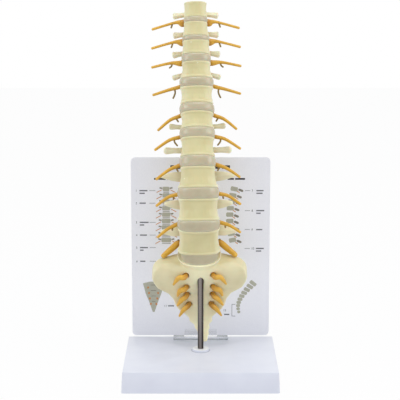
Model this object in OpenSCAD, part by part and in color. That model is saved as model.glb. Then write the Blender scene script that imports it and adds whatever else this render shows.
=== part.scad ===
// Display model of the lower spine on a stand: vertebrae T8 to L5, discs, sacrum with coccyx,
// spinal nerves, steel rod, base, and a key card in a clear holder.
// Millimetres. The origin is on the floor under the middle of the base, +Y points to the back.

/* [Vertebral bodies] */
// Front height of the body of L5
l5_h = 25.5; // [20:0.1:30]
// Front height of the body of L4
l4_h = 23.6; // [18:0.1:28]
// Front height of the body of L3
l3_h = 23; // [18:0.1:28]
// Front height of the body of L2
l2_h = 20.5; // [17:0.1:26]
// Front height of the body of L1
l1_h = 17.9; // [16:0.1:24]
// Front height of the body of T12
t12_h = 17.9; // [15:0.1:24]
// Front height of the body of T11
t11_h = 17.9; // [15:0.1:22]
// Front height of the body of T10
t10_h = 14.8; // [13:0.1:20]
// Front height of the body of T9
t9_h = 15; // [13:0.1:20]
// Front height of the body of T8
t8_h = 16.2; // [13:0.1:20]
// Share of the rim's size that is left at the waist, from L5 to T11
body_waist = 0.9; // [0.84:0.005:0.95]
// The same share from T10 to T8, which have straighter sides
upper_waist = 0.945; // [0.9:0.005:0.98]
// Height of the raised lip round each end plate
rim_h = 2; // [1.4:0.1:3]
// How far the sides of L5's lower rim hang down
rim_sag = 3; // [0:0.1:3.2]
// How far the sides of the sacrum's rim rise beside the disc
cup_rise = 1.4; // [0:0.1:1.6]

/* [Discs] */
// Front height of the disc between the sacrum and L5
disc_l5_s1_h = 13.5; // [12:0.1:16]
// Front height of the disc between L5 and L4
disc_l4_l5_h = 12.2; // [10.5:0.1:15]
// Front height of the disc between L4 and L3
disc_l3_l4_h = 12; // [9:0.1:15]
// Front height of the disc between L3 and L2
disc_l2_l3_h = 11.8; // [9:0.1:14]
// Front height of the disc between L2 and L1
disc_l1_l2_h = 10.2; // [8:0.1:13]
// Front height of the disc between L1 and T12
disc_t12_l1_h = 9.2; // [7:0.1:12]
// Front height of the disc between T12 and T11
disc_t11_t12_h = 9; // [7:0.1:12]
// Front height of the disc between T11 and T10
disc_t10_t11_h = 8.2; // [6:0.1:11]
// Front height of the disc between T10 and T9
disc_t9_t10_h = 4.8; // [4:0.1:8]
// Front height of the disc between T9 and T8
disc_t8_t9_h = 5.1; // [4:0.1:8]
// How far the disc below T12 bulges past its end plates
disc_bulge = 1.2; // [0.4:0.1:1.6]

/* [End plates] */
// Width of the sacrum's upper end plate
plate_s1_w = 46.5; // [42:0.1:50]
// Width of the end plates above and below the disc on L5
plate_l5_w = 45; // [42:0.1:50]
// Width of the end plates at the disc on L4
plate_l4_w = 43.5; // [38:0.1:48]
// Width of the end plates at the disc on L3
plate_l3_w = 37.3; // [35:0.1:45]
// Width of the end plates at the disc on L2
plate_l2_w = 36.3; // [33:0.1:42]
// Width of the end plates at the disc on L1
plate_l1_w = 35.6; // [32:0.1:40]
// Width of the end plates at the disc on T12
plate_t12_w = 35.6; // [30:0.1:38]
// Width of the end plates at the disc on T11
plate_t11_w = 31; // [28:0.1:36]
// Width of the end plates at the disc on T10
plate_t10_w = 29; // [26:0.1:33]
// Width of the end plates at the disc on T9
plate_t9_w = 25.2; // [23:0.1:30]
// Width of the upper end plate of T8
plate_t8_w = 24.5; // [22:0.1:30]

/* [Arches] */
// Depth of the spinal canal behind the bodies
canal_d = 13; // [12:0.1:15]
// Length of a lumbar spinous process behind the arch
lumbar_spine_l = 24; // [18:0.5:27]
// Length of a thoracic spinous process behind the arch
thoracic_spine_l = 22; // [16:0.5:30]
// Gap between two facing joint surfaces of the arches
facet_gap = 1; // [0.4:0.1:1.6]

/* [Sacrum] */
// Greatest width of the sacrum, across the wings
sacrum_w = 103.6; // [98:0.2:110]
// Height of the promontory, the sacrum's front top edge, above the floor
promontory_z = 119.7; // [112:0.1:126]
// Diameter of a front foramen at the surface
foramen_d = 6.6; // [6:0.1:8]
// How far the coccyx drifts to the right at its tip
coccyx_drift = 4.5; // [0:0.1:6]

/* [Nerves and cord] */
// Width of the cord in the canal
cord_w = 9; // [7:0.1:10]
// Depth of the cord from front to back
cord_d = 7; // [5.5:0.1:8]
// Diameter of a spinal nerve at its free end
nerve_d = 3; // [2.2:0.1:3.6]
// Diameter of a nerve's side branch
branch_d = 1.9; // [1.4:0.1:2.4]
// Diameter of a sacral nerve at its root
sacral_nerve_d = 5; // [3:0.1:5.4]
// Gap between a nerve's root and the cord
root_gap = 0.8; // [0.6:0.05:1]

/* [Column] */
// Lean of the whole column to the left, in degrees
column_lean = 0.93; // [0:0.01:1.5]
// Height above the floor about which the column leans
lean_z = 40; // [0:1:60]

/* [Rod] */
// Diameter of the steel rod
rod_d = 6.35; // [5:0.05:8]
// How far the rod stands behind the middle of the base
rod_y = 13; // [10:0.1:15]
// Depth of solid sacrum left above the rod's end
rod_cover = 5; // [3:0.1:12]
// Radial gap round the rod in its sockets
rod_clear = 0.05; // [0.02:0.01:0.1]

/* [Base] */
// Width of the base at the floor
base_w = 165.1; // [140:0.1:200]
// Depth of the base at the floor
base_d = 127; // [120:0.1:160]
// Height of the base
base_h = 22; // [18:0.1:26]
// How far each side leans in from the floor to the top
base_draft = 1.3; // [0.5:0.1:2.5]
// Radius of the base's upright corners
base_corner_r = 2.5; // [1:0.1:8]
// Thickness of the deck and the side walls
base_wall = 3; // [2:0.1:4]
// Thickness of the ribs under the deck
rib_t = 2; // [1.2:0.1:3]
// Diameter of the boss round the rod
boss_d = 18.5; // [16:0.1:24]
// Height of the boss above the deck
boss_h = 2.3; // [1:0.1:5]

/* [Screw] */
// Diameter of the screw's shank
screw_d = 4; // [3:0.1:4.5]
// Diameter of the screw's head
screw_head_d = 8; // [6:0.1:9]
// Height of the screw's head
screw_head_h = 2.6; // [2:0.1:3]
// Length of the shank above the head
screw_l = 14; // [10:0.5:20]
// Outer diameter of the washer
washer_d = 10; // [9:0.1:11]
// Thickness of the washer
washer_t = 0.8; // [0.5:0.1:1.2]

/* [Card] */
// Width of the card
card_w = 157; // [140:0.5:180]
// Height of the card
card_h = 208; // [180:0.5:230]
// Thickness of the card
card_t = 1; // [0.6:0.1:1.5]
// Radius of the card's corners
card_r = 5; // [2:0.1:10]
// Height of the card's lower edge above the floor
card_z = 16; // [14:0.1:20]
// How far the card's front face stands behind the base's back edge
card_gap = 22.5; // [22:0.1:28]

/* [Card holder] */
// Width of the foot that lies on the deck
holder_foot_w = 61; // [50:0.5:80]
// Depth of the foot that lies on the deck
holder_foot_d = 13; // [10:0.1:16]
// Width of the tongue that reaches back to the card
holder_tongue_w = 37; // [25:0.5:45]
// Thickness of the clear sheet
holder_t = 1.8; // [1.2:0.1:2.4]
// Gap on each side of the card in the holder's channel
holder_clear = 0.2; // [0.05:0.05:0.4]
// Height of the wall behind the card
holder_back_h = 30; // [20:0.5:40]

/* [Hidden] */
LEVELS = ["l5", "l4", "l3", "l2", "l1", "t12", "t11", "t10", "t9", "t8"];
DISCS = ["l5_s1", "l4_l5", "l3_l4", "l2_l3", "l1_l2", "t12_l1", "t11_t12", "t10_t11", "t9_t10", "t8_t9"];
SACRAL = ["s1", "s2", "s3", "s4"];
SIDES = [["left", -1], ["right", 1]];

BONE = [0.87, 0.83, 0.69];
DISC = [0.74, 0.69, 0.60];
NERVE = [0.86, 0.62, 0.24];
STEEL = "silver";
WHITE = [0.92, 0.92, 0.95];
CARD = [0.85, 0.85, 0.87];
CLEAR = [0.75, 0.80, 0.84, 0.5];

// Levels are counted upwards from L5, which is number 0. Plate 0 is the sacrum's.
body_h = [l5_h, l4_h, l3_h, l2_h, l1_h, t12_h, t11_h, t10_h, t9_h, t8_h];
disc_h = [disc_l5_s1_h, disc_l4_l5_h, disc_l3_l4_h, disc_l2_l3_h, disc_l1_l2_h,
    disc_t12_l1_h, disc_t11_t12_h, disc_t10_t11_h, disc_t9_t10_h, disc_t8_t9_h];
plate_w = [plate_s1_w, plate_l5_w, plate_l4_w, plate_l3_w, plate_l2_w, plate_l1_w,
    plate_t12_w, plate_t11_w, plate_t10_w, plate_t9_w, plate_t8_w];
top_level = len(LEVELS) - 1;
// Backward tilt of each body's lower and upper plate, in degrees, and of the sacrum's plate
low_tilt = [-12, 8, 12, 19, 22, 21, 14, 16, 14.5, 14];
up_tilt = [-6, 8, 16, 19, 24, 14, 16, 15, 14, 13];
sacral_tilt = -34;
lumbosacral_tilt = -4;
last_lumbar = 4;
last_waisted = 6;
last_lumbar_joint = 5;
outline_points = 18;
limb_points = 6;

function mix(a, b, t) = a + (b - a) * t;
function mean(list) = [for (i = [0 : len(list) - 1]) 1] * list / len(list);
function unit(v) = v / norm(v);
function signed_power(v, e) = sign(v) * pow(abs(v), e);

// Depth of an end plate that is w wide: lumbar plates are oval, thoracic ones nearly round
function plate_d(w) = 11 + 0.48 * w;
// Direction of a plate's front-to-back line, and of the line square to the plate
function plate_back(tilt) = [0, cos(tilt), -sin(tilt)];
function plate_up(tilt) = [0, sin(tilt), cos(tilt)];
function climb(p, length, tilt) = p + length * plate_up(tilt);

// Front edge of each body's lower and upper plate, stacked up from the promontory
function disc_tilt(i) = i == 0 ? lumbosacral_tilt : (up_tilt[i - 1] + low_tilt[i]) / 2;
function body_tilt(i) = (low_tilt[i] + up_tilt[i]) / 2;
function low_edge(i) = climb(i == 0 ? promontory : up_edge(i - 1), disc_h[i], disc_tilt(i));
function up_edge(i) = climb(low_edge(i), body_h[i], body_tilt(i));
promontory = [0, 0, promontory_z];
low_front = [for (i = [0 : top_level]) low_edge(i)];
up_front = [for (i = [0 : top_level]) up_edge(i)];

// The same edges at the back of the plates
function low_back(i) = low_front[i] + plate_d(plate_w[i]) * plate_back(low_tilt[i]);
function up_back(i) = i < 0
    ? promontory + plate_d(plate_w[0]) * plate_back(sacral_tilt)
    : up_front[i] + plate_d(plate_w[i + 1]) * plate_back(up_tilt[i]);

// A point of vertebra i, given from the middle of its body's back edge: across, back, up
function back_mid(i) = (low_back(i) + up_back(i)) / 2;
function local(i, p) = back_mid(i) + [p.x, 0, 0] + p.y * plate_back(body_tilt(i)) + p.z * plate_up(body_tilt(i));

// Place where the arches of two neighbours meet, behind disc k
function joint_tilt(k) = k > top_level ? up_tilt[top_level]
    : k == 0 ? (sacral_tilt + low_tilt[0]) / 2 : disc_tilt(k);
function joint_mid(k) = (k > top_level ? up_back(top_level) : (low_back(k) + up_back(k - 1)) / 2)
    + (canal_d - 1) * plate_back(joint_tilt(k));

// Oval outline with a hollow at the back, for plates, bodies and discs
function oval(w, d, dent) = [for (k = [0 : outline_points - 1])
    let (a = 360 * k / outline_points, c = cos(a), s = sin(a))
    [w / 2 * signed_power(c, 0.85), d / 2 * signed_power(s, 0.9) - (s > 0 ? dent * pow(s, 6) : 0)]];
// The outline laid on a plate. It can hang below the plate, by a share that depends on the place v,
// which runs from -1 at the plate's front to 1 at its back.
function on_plate(front, tilt, w, size, hang = 0, shape = [1, 0, 0]) =
    [for (p = oval(w * size, plate_d(w) * size, 2.2 * size))
        let (v = 2 * p.y / plate_d(w))
        front + [p.x, 0, 0] + (p.y + plate_d(w) / 2) * plate_back(tilt)
            - hang * max(0, shape * [1, v, v * v]) * plate_up(tilt)];
// The lower rim of L5 hangs down over the disc, and the sacrum's rim rises beside it
rim_shape = [1, -0.25, -0.75];
cup_shape = [1, -0.6, -1.6];

// Closed surface through a row of rings that have the same number of points
module skin(rings) {
    n = len(rings[0]);
    last = len(rings) - 1;
    points = concat([for (r = rings) for (p = r) p], [mean(rings[0]), mean(rings[last])]);
    low_centre = n * (last + 1);
    sides = [for (i = [0 : last - 1]) for (k = [0 : n - 1])
        let (a = i * n + k, b = i * n + (k + 1) % n)
        each [[a, a + n, b + n], [a, b + n, b]]];
    low_cap = [for (k = [0 : n - 1]) [low_centre, k, (k + 1) % n]];
    high_cap = [for (k = [0 : n - 1]) [low_centre + 1, last * n + (k + 1) % n, last * n + k]];
    polyhedron(points = points, faces = concat(sides, low_cap, high_cap), convexity = 10);
}

// Limb that follows a path, with an oval section square to it: side is the half-size across the
// reference direction, rise the half-size along it
function limb_ring(path, i, side, rise, n, ref) =
    let (last = len(path) - 1,
        t = unit(path[min(i + 1, last)] - path[max(i - 1, 0)]),
        u = unit(cross(ref, t)),
        v = cross(t, u))
    [for (k = [0 : n - 1]) path[i] + side[i] * cos(360 * k / n) * u + rise[i] * sin(360 * k / n) * v];
module limb(path, side, rise, n = limb_points, ref = [0, 0, 1])
    skin([for (i = [0 : len(path) - 1]) limb_ring(path, i, side, rise, n, ref)]);

// Smooth curve through the points of a list, with a given number of steps between each two
function curve_point(p, i, t) =
    let (last = len(p) - 1,
        p0 = p[max(i - 1, 0)], p1 = p[i], p2 = p[min(i + 1, last)], p3 = p[min(i + 2, last)])
    0.5 * (2 * p1 + (p2 - p0) * t + (2 * p0 - 5 * p1 + 4 * p2 - p3) * t * t
        + (3 * p1 - p0 - 3 * p2 + p3) * t * t * t);
function curve(p, steps) = concat(
    [for (i = [0 : len(p) - 2]) for (j = [0 : steps - 1]) curve_point(p, i, j / steps)],
    [p[len(p) - 1]]);

module lean() {
    translate([0, 0, lean_z]) rotate([0, -column_lean, 0]) translate([0, 0, -lean_z]) children();
}
module on_side(s) {
    if (s < 0) mirror([1, 0, 0]) children();
    else children();
}
module both_sides() {
    children();
    mirror([1, 0, 0]) children();
}

// Vertebra: drum-shaped body with raised rims, and an arch with its seven processes

module vertebral_body(i) {
    h = body_h[i];
    lip = rim_h / h;
    waist = i > last_waisted ? upper_waist : body_waist;
    below_rim = mix(waist, 1, 0.5);
    profile = [[0, 0.97], [0.35 * lip, 1], [0.9 * lip, 1], [1.5 * lip, below_rim], [0.55, waist],
        [1 - 1.5 * lip, below_rim], [1 - 0.9 * lip, 1], [1 - 0.35 * lip, 1], [1, 0.97]];
    skin([for (p = profile) on_plate(
        mix(low_front[i], up_front[i], p[0]), mix(low_tilt[i], up_tilt[i], p[0]),
        mix(plate_w[i], plate_w[i + 1], p[0]), p[1], i == 0 ? (1 - p[0]) * rim_sag : 0, rim_shape)]);
}

function is_lumbar(i) = i <= last_lumbar;
function body_w(i) = (plate_w[i] + plate_w[i + 1]) / 2;
// Half the distance between the two pedicles, and the height of the pedicles on the body
function pedicle_x(i) = 5 + 0.14 * body_w(i);
function pedicle_z(i) = body_h[i] / 2 - (is_lumbar(i) ? 6.2 : 5.4);
function pedicle_w(i) = is_lumbar(i) ? 6.6 : 4.6;
function lamina_rise(i) = i == 0 ? 7.2 : is_lumbar(i) ? 8.6 : i == last_lumbar + 1 ? 8 : 7.2;

module arch(i) {
    x = pedicle_x(i);
    z = pedicle_z(i);
    half = pedicle_w(i) / 2;
    rise = lamina_rise(i);
    right = [[x, -4, z], [x, 1, z], [x + 0.8, canal_d - 6, z - 0.5], [x, canal_d - 0.5, z - 3.5],
        [0.55 * x, canal_d + 3, -4]];
    path = concat(right, [[0, canal_d + 5, -4.5]], [for (k = [4 : -1 : 0]) [-right[k].x, right[k].y, right[k].z]]);
    side = [half, half, 0.95 * half, 0.95 * half, 0.8 * half, 0.85 * half];
    tall = [0.56 * rise, 0.54 * rise, 0.6 * rise, 0.8 * rise, rise, rise];
    limb([for (p = path) local(i, p)],
        concat(side, [for (k = [4 : -1 : 0]) side[k]]), concat(tall, [for (k = [4 : -1 : 0]) tall[k]]));
}

// Joint processes: lumbar ones stand side by side, thoracic ones stand one behind the other
function is_lumbar_joint(k) = k <= last_lumbar_joint;
function joint_x(k) = (k == 0 ? 1.5 : 0.5) + 5 + 0.14 * plate_w[k];
joint_thick = 2.6;
joint_broad = 3.8;
joint_offset = joint_thick + facet_gap / 2;
function upper_joint_point(k, up) = joint_mid(k) + up * plate_up(joint_tilt(k))
    + (is_lumbar_joint(k) ? [joint_x(k) - joint_offset, 0, 0]
        : [joint_x(k) - 1, 0, 0] + joint_offset * plate_back(joint_tilt(k)));
function lower_joint_point(k, up) = joint_mid(k) + up * plate_up(joint_tilt(k))
    + (is_lumbar_joint(k) ? [joint_x(k) + joint_offset, 0, 0]
        : [joint_x(k) - 1, 0, 0] - joint_offset * plate_back(joint_tilt(k)));

module joint_process(path, k) {
    thick = [joint_thick, joint_thick, joint_thick, 0.5 * joint_thick];
    broad = [joint_broad, joint_broad, joint_broad, 0.5 * joint_broad];
    limb(path, is_lumbar_joint(k) ? broad : thick, is_lumbar_joint(k) ? thick : broad, ref = [1, 0, 0]);
}
module lower_process(i) {
    joint_process([local(i, [0.6 * pedicle_x(i), canal_d + 2, -2]), upper_joint_point(i, 4),
        upper_joint_point(i, -0.5), upper_joint_point(i, -2.4)], i);
}
module upper_process(i) {
    joint_process([local(i, [pedicle_x(i) + 1, canal_d - 2, pedicle_z(i) - 3]),
        lower_joint_point(i + 1, -4), lower_joint_point(i + 1, 1), lower_joint_point(i + 1, 3.8)], i + 1);
}

// Tip of each transverse process from the middle of the body's back edge: across, back, up
transverse_tip = [[42, 7, -2.2], [37.5, 10, 4.6], [40.5, 9.5, 3.5], [37, 10, 1.4], [31, 10, 1.5],
    [17, 9, -2], [26.5, 13, -3.6], [26.2, 13, -2.4], [25, 13, -1.4], [25, 13, -1.3]];
// Half the height of each transverse process: at its root, in its middle and at its end
transverse_rise = [[7.4, 6.8, 2.8], [7, 5.6, 2.8], [7.4, 5.6, 2.6], [3.9, 3.4, 4.6], [3.4, 2.8, 3.8],
    [3.4, 3.2, 2.6], [3, 3, 3.6], [3, 3.2, 4.3], [3, 3.2, 4.3], [3, 3.2, 4.3]];
module transverse_process(i) {
    tip = transverse_tip[i];
    rise = transverse_rise[i];
    thick = is_lumbar(i) ? 2.3 : 3.1;
    root = [pedicle_x(i) + 0.5, canal_d, pedicle_z(i)] - (i == 0 ? [0, 8.5, 5.5] : [0, 4, 3]);
    limb([for (p = [root, mix(root, tip, 0.55), mix(root, tip, 0.92), tip]) local(i, p)],
        [thick + 0.6, thick, thick, 0.5 * thick], [rise[0], rise[1], rise[2], 0.6 * rise[2]]);
}

// Fall of each spinous process for each millimetre that it reaches back
spine_fall = [0.12, 0.15, 0.16, 0.16, 0.18, 0.3, 0.6, 0.85, 1, 1.05];
module spinous_process(i) {
    reach = is_lumbar(i) ? lumbar_spine_l : thoracic_spine_l * (i == last_lumbar + 1 ? 0.8 : 1);
    run = reach / norm([1, spine_fall[i]]);
    start = [0, canal_d + 3.5, -3.2];
    path = [for (t = [0, 0.4, 0.8, 1]) start + t * run * [0, 1, -spine_fall[i]]];
    side = is_lumbar(i) ? [3.4, 2.4, 3.2, 2.4] : [3, 2.3, 2.3, 1.6];
    rise = is_lumbar(i) ? [8, 7.6, 8.8, 6.4] : [6, 4.6, 3.8, 2.6];
    limb([for (p = path) local(i, p)], side, rise);
}

module vertebra(i) {
    color(BONE) lean() union() {
        vertebral_body(i);
        arch(i);
        spinous_process(i);
        both_sides() {
            upper_process(i);
            lower_process(i);
            transverse_process(i);
        }
    }
}

// Bulge of each disc as a share of disc_bulge. The one on the sacrum lies inside the sacrum's rim.
BULGES = [-1.3, 0.4, 0.5, 0.7, 0.9, 1, 0.7, 0.4, 0.3, 0.3];
disc_end = 0.972;
module disc(i) {
    from = i == 0 ? promontory : up_front[i - 1];
    from_tilt = i == 0 ? sacral_tilt : up_tilt[i - 1];
    bulge = 1 + 2 * BULGES[i] * disc_bulge / plate_w[i];
    side = mix(min(disc_end, bulge), bulge, 0.85);
    profile = [[0, min(disc_end, bulge)], [0.2, side], [0.8, side], [1, min(disc_end, bulge)]];
    color(DISC) lean() skin([for (p = profile) on_plate(
        mix(from, low_front[i], p[0]), mix(from_tilt, low_tilt[i], p[0]), plate_w[i], p[1],
        i == 0 ? p[0] * rim_sag : 0, rim_shape)]);
}

// Sacrum. Each row is a section down its length: distance from the promontory along the front,
// tilt, half-width as a share of the greatest, then how far back lie the front face in the middle
// and at the edge, and the back face at the edge and on the crest.
SECTIONS = [
    [6, -24, 0.66, 3.2, 13, 20, 36],
    [7.5, -25, 0.79, 2.4, 11.5, 24, 39],
    [9.5, -26, 0.885, 1.6, 9.5, 24, 42],
    [13, -28, 0.95, 1, 7.5, 22, 45],
    [17.5, -30, 0.985, 0.5, 5.5, 22, 46],
    [22.5, -30, 1, 0.5, 4.3, 22, 44],
    [28, -29, 0.975, 1, 3.5, 22, 41],
    [35, -26, 0.895, 0, 2.5, 19, 38],
    [39, -24, 0.78, 0.6, 2.5, 15, 33],
    [42.5, -22, 0.66, 1, 2, 12, 29],
    [49.5, -18, 0.565, 0, 1.5, 9, 28],
    [55.5, -13, 0.53, 0.7, 1, 8, 22],
    [61.5, -8, 0.46, 0, 1, 7, 19],
    [66, -3, 0.34, 0.4, 0.5, 6.5, 14],
    [71, 0, 0.235, 0, 0.5, 6, 10],
    [74.5, 4, 0.25, 0.6, 0.8, 5.5, 9],
    [78.5, 8, 0.15, 0, 0.4, 5, 7.5],
    [82, 12, 0.165, 0.5, 0.7, 5, 7.5],
    [85, 15, 0.115, 0, 0.3, 4.5, 6.5],
    [88.5, 18, 0.12, 0.4, 0.6, 4.5, 6],
    [91.5, 21, 0.08, 0, 0.3, 3.8, 5],
    [94.5, 24, 0.075, 0.3, 0.5, 3.5, 4.5],
    [97, 26, 0.035, 0.9, 1, 2.4, 2.8]];
coccyx_start = 71;
section_points = 15;
section_bevel = 0.8;
last_section = len(SECTIONS) - 1;
sacral_line = [for (k = [0 : last_section]) section_front(k)];
function section_front(k) = k == 0 ? climb(promontory, -SECTIONS[0][0], sacral_tilt)
    : climb(section_front(k - 1), SECTIONS[k - 1][0] - SECTIONS[k][0], (SECTIONS[k - 1][1] + SECTIONS[k][1]) / 2);
// Place, tilt and depth of the crest at any distance down the sacrum's front
function down_front(s) = [0, lookup(s, [for (k = [0 : last_section]) [SECTIONS[k][0], sacral_line[k].y]]),
    lookup(s, [for (k = [0 : last_section]) [SECTIONS[k][0], sacral_line[k].z]])];
function tilt_at(s) = lookup(s, [for (row = SECTIONS) [row[0], row[1]]]);
function crest_at(s) = lookup(s, [for (row = SECTIONS) [row[0], row[6]]]);
function inside(s, depth) = down_front(s) + depth * plate_back(tilt_at(s));
function drift(s) = coccyx_drift * max(s - coccyx_start, 0) / (SECTIONS[last_section][0] - coccyx_start);
function ease(t) = t * t * (3 - 2 * t);
// Front face: flat over the bodies, then easing back to the wings' edge
function face_front(row, s) = mix(row[3], row[4], ease(min(max((abs(s) - 0.2) / 0.8, 0), 1)));
// Back face: crest, a furrow on each side, a low ridge, then down to the edge
function face_back(row, s) = row[6] + (row[5] - row[6]) * pow(abs(s), 1.15)
    - 0.1 * row[6] * pow(sin(180 * min(abs(s) / 0.5, 1)), 2);
function section_ring(k) =
    let (row = SECTIONS[k], half = row[2] * sacrum_w / 2, front = sacral_line[k], m = section_points - 1,
        across = [for (j = [0 : m]) -cos(180 * j / m)],
        ahead = [for (s = across) [s, face_front(row, s) + (abs(s) > 0.999 ? section_bevel : 0)]],
        behind = [for (s = across) [s, face_back(row, s) - (abs(s) > 0.999 ? section_bevel : 0)]],
        outline = concat(ahead, [for (j = [m : -1 : 0]) behind[j]]))
    [for (p = outline) front + [p[0] * half + drift(row[0]), 0, 0] + p[1] * plate_back(row[1])];

// Upper body of the sacrum, which carries the end plate
module sacral_drum() {
    // Depth below the plate, size, and share of the rise at the sides
    depths = [[16, 0.8, 0], [7, 0.9, 0.3], [1.6 * rim_h, 0.955, 0.7], [0.95 * rim_h, 1, 1], [0.35 * rim_h, 1, 1],
        [0, 0.98, 1], [0, 0.952, 0]];
    skin([for (p = depths) on_plate(climb(promontory, -p[0], sacral_tilt), sacral_tilt, plate_w[0], p[1],
        -p[2] * cup_rise, cup_shape)]);
}

// Canal through the sacrum: how far down it lies, its depth behind the front, and its half-sizes
CANAL = [[17.5, 33, 10, 6], [35, 27, 8.5, 5], [49.5, 19, 6.5, 4], [61.5, 13.5, 5, 3], [71, 11.5, 4, 2.5]];
canal_line = concat([up_back(-1) + 8 * plate_back(sacral_tilt) + 12 * plate_up(sacral_tilt)],
    [for (row = CANAL) inside(row[0], row[1])]);
canal_side = concat([11], [for (row = CANAL) row[2]]);
canal_rise = concat([7], [for (row = CANAL) row[3]]);
module sacral_canal() {
    n = len(canal_line) - 1;
    limb([for (k = [n : -1 : 0]) canal_line[k]], [for (k = [n : -1 : 0]) canal_rise[k]],
        [for (k = [n : -1 : 0]) canal_side[k]], n = 10, ref = [1, 0, 0]);
}

// Front foramina: how far each lies down the front, and how far from the middle
FORAMINA = [[15, 15.5], [31.5, 15], [42, 14.5], [54.5, 12.5]];
function foramen_at(j) = down_front(FORAMINA[j][0]) + [FORAMINA[j][1], 0, 0];
foramen_l = 14;
module front_foramina() {
    for (j = [0 : len(FORAMINA) - 1]) {
        r = foramen_d / 2 * (1 - 0.04 * j);
        translate(foramen_at(j)) rotate([-tilt_at(FORAMINA[j][0]), 0, 0]) rotate([-90, 0, 0])
            rotate([0, -20, 0]) translate([0, 0, -3]) cylinder(h = foramen_l, r1 = r * 1.1, r2 = r * 0.8, $fn = 24);
    }
}
module back_foramina() {
    for (j = [0 : len(FORAMINA) - 1]) {
        crest = crest_at(FORAMINA[j][0]);
        tilt = tilt_at(FORAMINA[j][0]);
        translate(foramen_at(j) + [1.5, 0, 0] + 0.45 * crest * plate_back(tilt)) rotate([-tilt, 0, 0])
            rotate([-90, 0, 0]) cylinder(h = crest, r1 = 2, r2 = 3.2, $fn = 24);
    }
}

// Joint processes that take the lower processes of L5
module sacral_joint_process() {
    joint_process([inside(9, 32) + [joint_x(0) + 2, 0, 0],
        lower_joint_point(0, -8), lower_joint_point(0, 1), lower_joint_point(0, 4.5)], 0);
}

plate_z_at_rod = promontory_z - rod_y * tan(sacral_tilt);
rod_top = plate_z_at_rod - rod_cover;
module sacrum() {
    color(BONE) difference() {
        lean() difference() {
            union() {
                skin([for (k = [len(SECTIONS) - 1 : -1 : 0]) section_ring(k)]);
                sacral_drum();
                both_sides() sacral_joint_process();
            }
            sacral_canal();
            both_sides() {
                front_foramina();
                back_foramina();
            }
        }
        translate([0, rod_y, base_h + boss_h]) cylinder(h = rod_top - base_h - boss_h, d = rod_d + 2 * rod_clear, $fn = 48);
    }
}

// Cord: from just above T8 through the canal to the second sacral level
cord_line = concat(
    [for (k = [3, 2, 1]) canal_line[k]],
    [for (i = [0 : top_level]) local(i, [0, canal_d / 2, 0])],
    [local(top_level, [0, canal_d / 2, body_h[top_level] / 2 + 1])]);
module spinal_cord() {
    n = len(cord_line);
    ends = concat([0.4, 0.6, 0.8], [for (i = [3 : n - 1]) 1]);
    color(NERVE) lean() limb(cord_line, [for (e = ends) e * cord_d / 2], [for (e = ends) e * cord_w / 2],
        n = 8, ref = [1, 0, 0]);
}

// Spinal nerves. Each row gives three points of the nerve's free length: how far from the middle and
// how far above the back of the body's lower edge. The last number lowers the left nerve and lifts the right.
NERVES = [
    [[22.5, -2], [30, -7.6], [39.3, -14], 0],
    [[23.2, -5.2], [33.7, -9], [44.5, -16.2], 2],
    [[21.2, -6.4], [32.5, -9], [45.2, -17.3], 0.2],
    [[18.8, -6.1], [31, -10.4], [44.9, -19.6], 0.5],
    [[19.1, -4.8], [30.4, -7.5], [46, -17.2], 0],
    [[18.6, -8.5], [29.5, -12.5], [42.5, -22.7], 0],
    [[18.3, -6.6], [30.6, -9.6], [47.3, -14.3], 0],
    [[16, -6.3], [27.8, -5.6], [48.1, -9.5], 0],
    [[14.7, -3.8], [24, -3.1], [47.8, -9], 0],
    [[14.2, -3.2], [22, -2.2], [46.9, -8.8], 0]];
// How far behind the body's back edge each of those points lies
function nerve_back(i) = [1, -1.5, i == 0 ? -8 : -6];
// Thickness of each nerve as shares of nerve_d: at the cord, in the opening between the arches, and at the three points
NERVE_SWELL = concat([[1.1, 1.3, 2.1, 2.3, 1.9]], [for (i = [1 : 6]) [0.9, 1.15, 1.5, 1.2, 0.95]],
    [[0.9, 1.2, 2.2, 1.15, 0.95]], [for (i = [8 : 9]) [0.9, 1.3, 2.8, 1.15, 0.95]]);
// Side branch of each nerve: start as a share of the way from the first to the second point, then its points from there
BRANCHES = [
    [0.1, [[-0.6, 4.4]]],
    [0.5, [[0.4, -3.8]]],
    [0.45, [[0.8, -4]]],
    [0.4, [[-1.2, -3.2], [-2.2, -4.8]]],
    [0.5, [[0.2, -3.6], [-2.8, -7.6]]],
    [0.45, [[-2.8, -4.2]]],
    [0.5, [[-0.9, -4.2], [0.2, -8], [1.5, -10.6]]],
    [0.85, [[1.2, -3.4], [3.2, -5]]],
    [1.12, [[0.8, -3], [1.8, -5.6]]],
    [1.4, [[0.6, -3], [1.6, -5.8]]]];

function nerve_points(i, lift) =
    let (row = NERVES[i], z1 = row[0][1])
    concat([[cord_w / 2 + root_gap, canal_d / 2, 0.25 * z1 + 2.5], [0.55 * row[0][0], 4.8 - 0.6 * NERVE_SWELL[i][2], 0.5 * z1 + 1]],
        [for (k = [0 : 2]) [row[k][0], nerve_back(i)[k], row[k][1] + lift * row[3] * (k + 1) / 3]]);
module spinal_nerve(i, s) {
    points = [for (p = nerve_points(i, s)) low_back(i) + p];
    thick = curve(NERVE_SWELL[i], 2) * nerve_d / 2;
    branch = BRANCHES[i];
    start = points[2] + branch[0] * (points[3] - points[2]);
    twig = concat([start], [for (p = branch[1]) start + [p.x, -0.15 * norm(p), p.y]]);
    color(NERVE) lean() on_side(s) union() {
        limb(curve(points, 2), thick, thick);
        limb(twig, [for (p = twig) branch_d / 2], [for (p = twig) branch_d / 2], n = 5, ref = [0, 1, 0]);
    }
}

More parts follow.
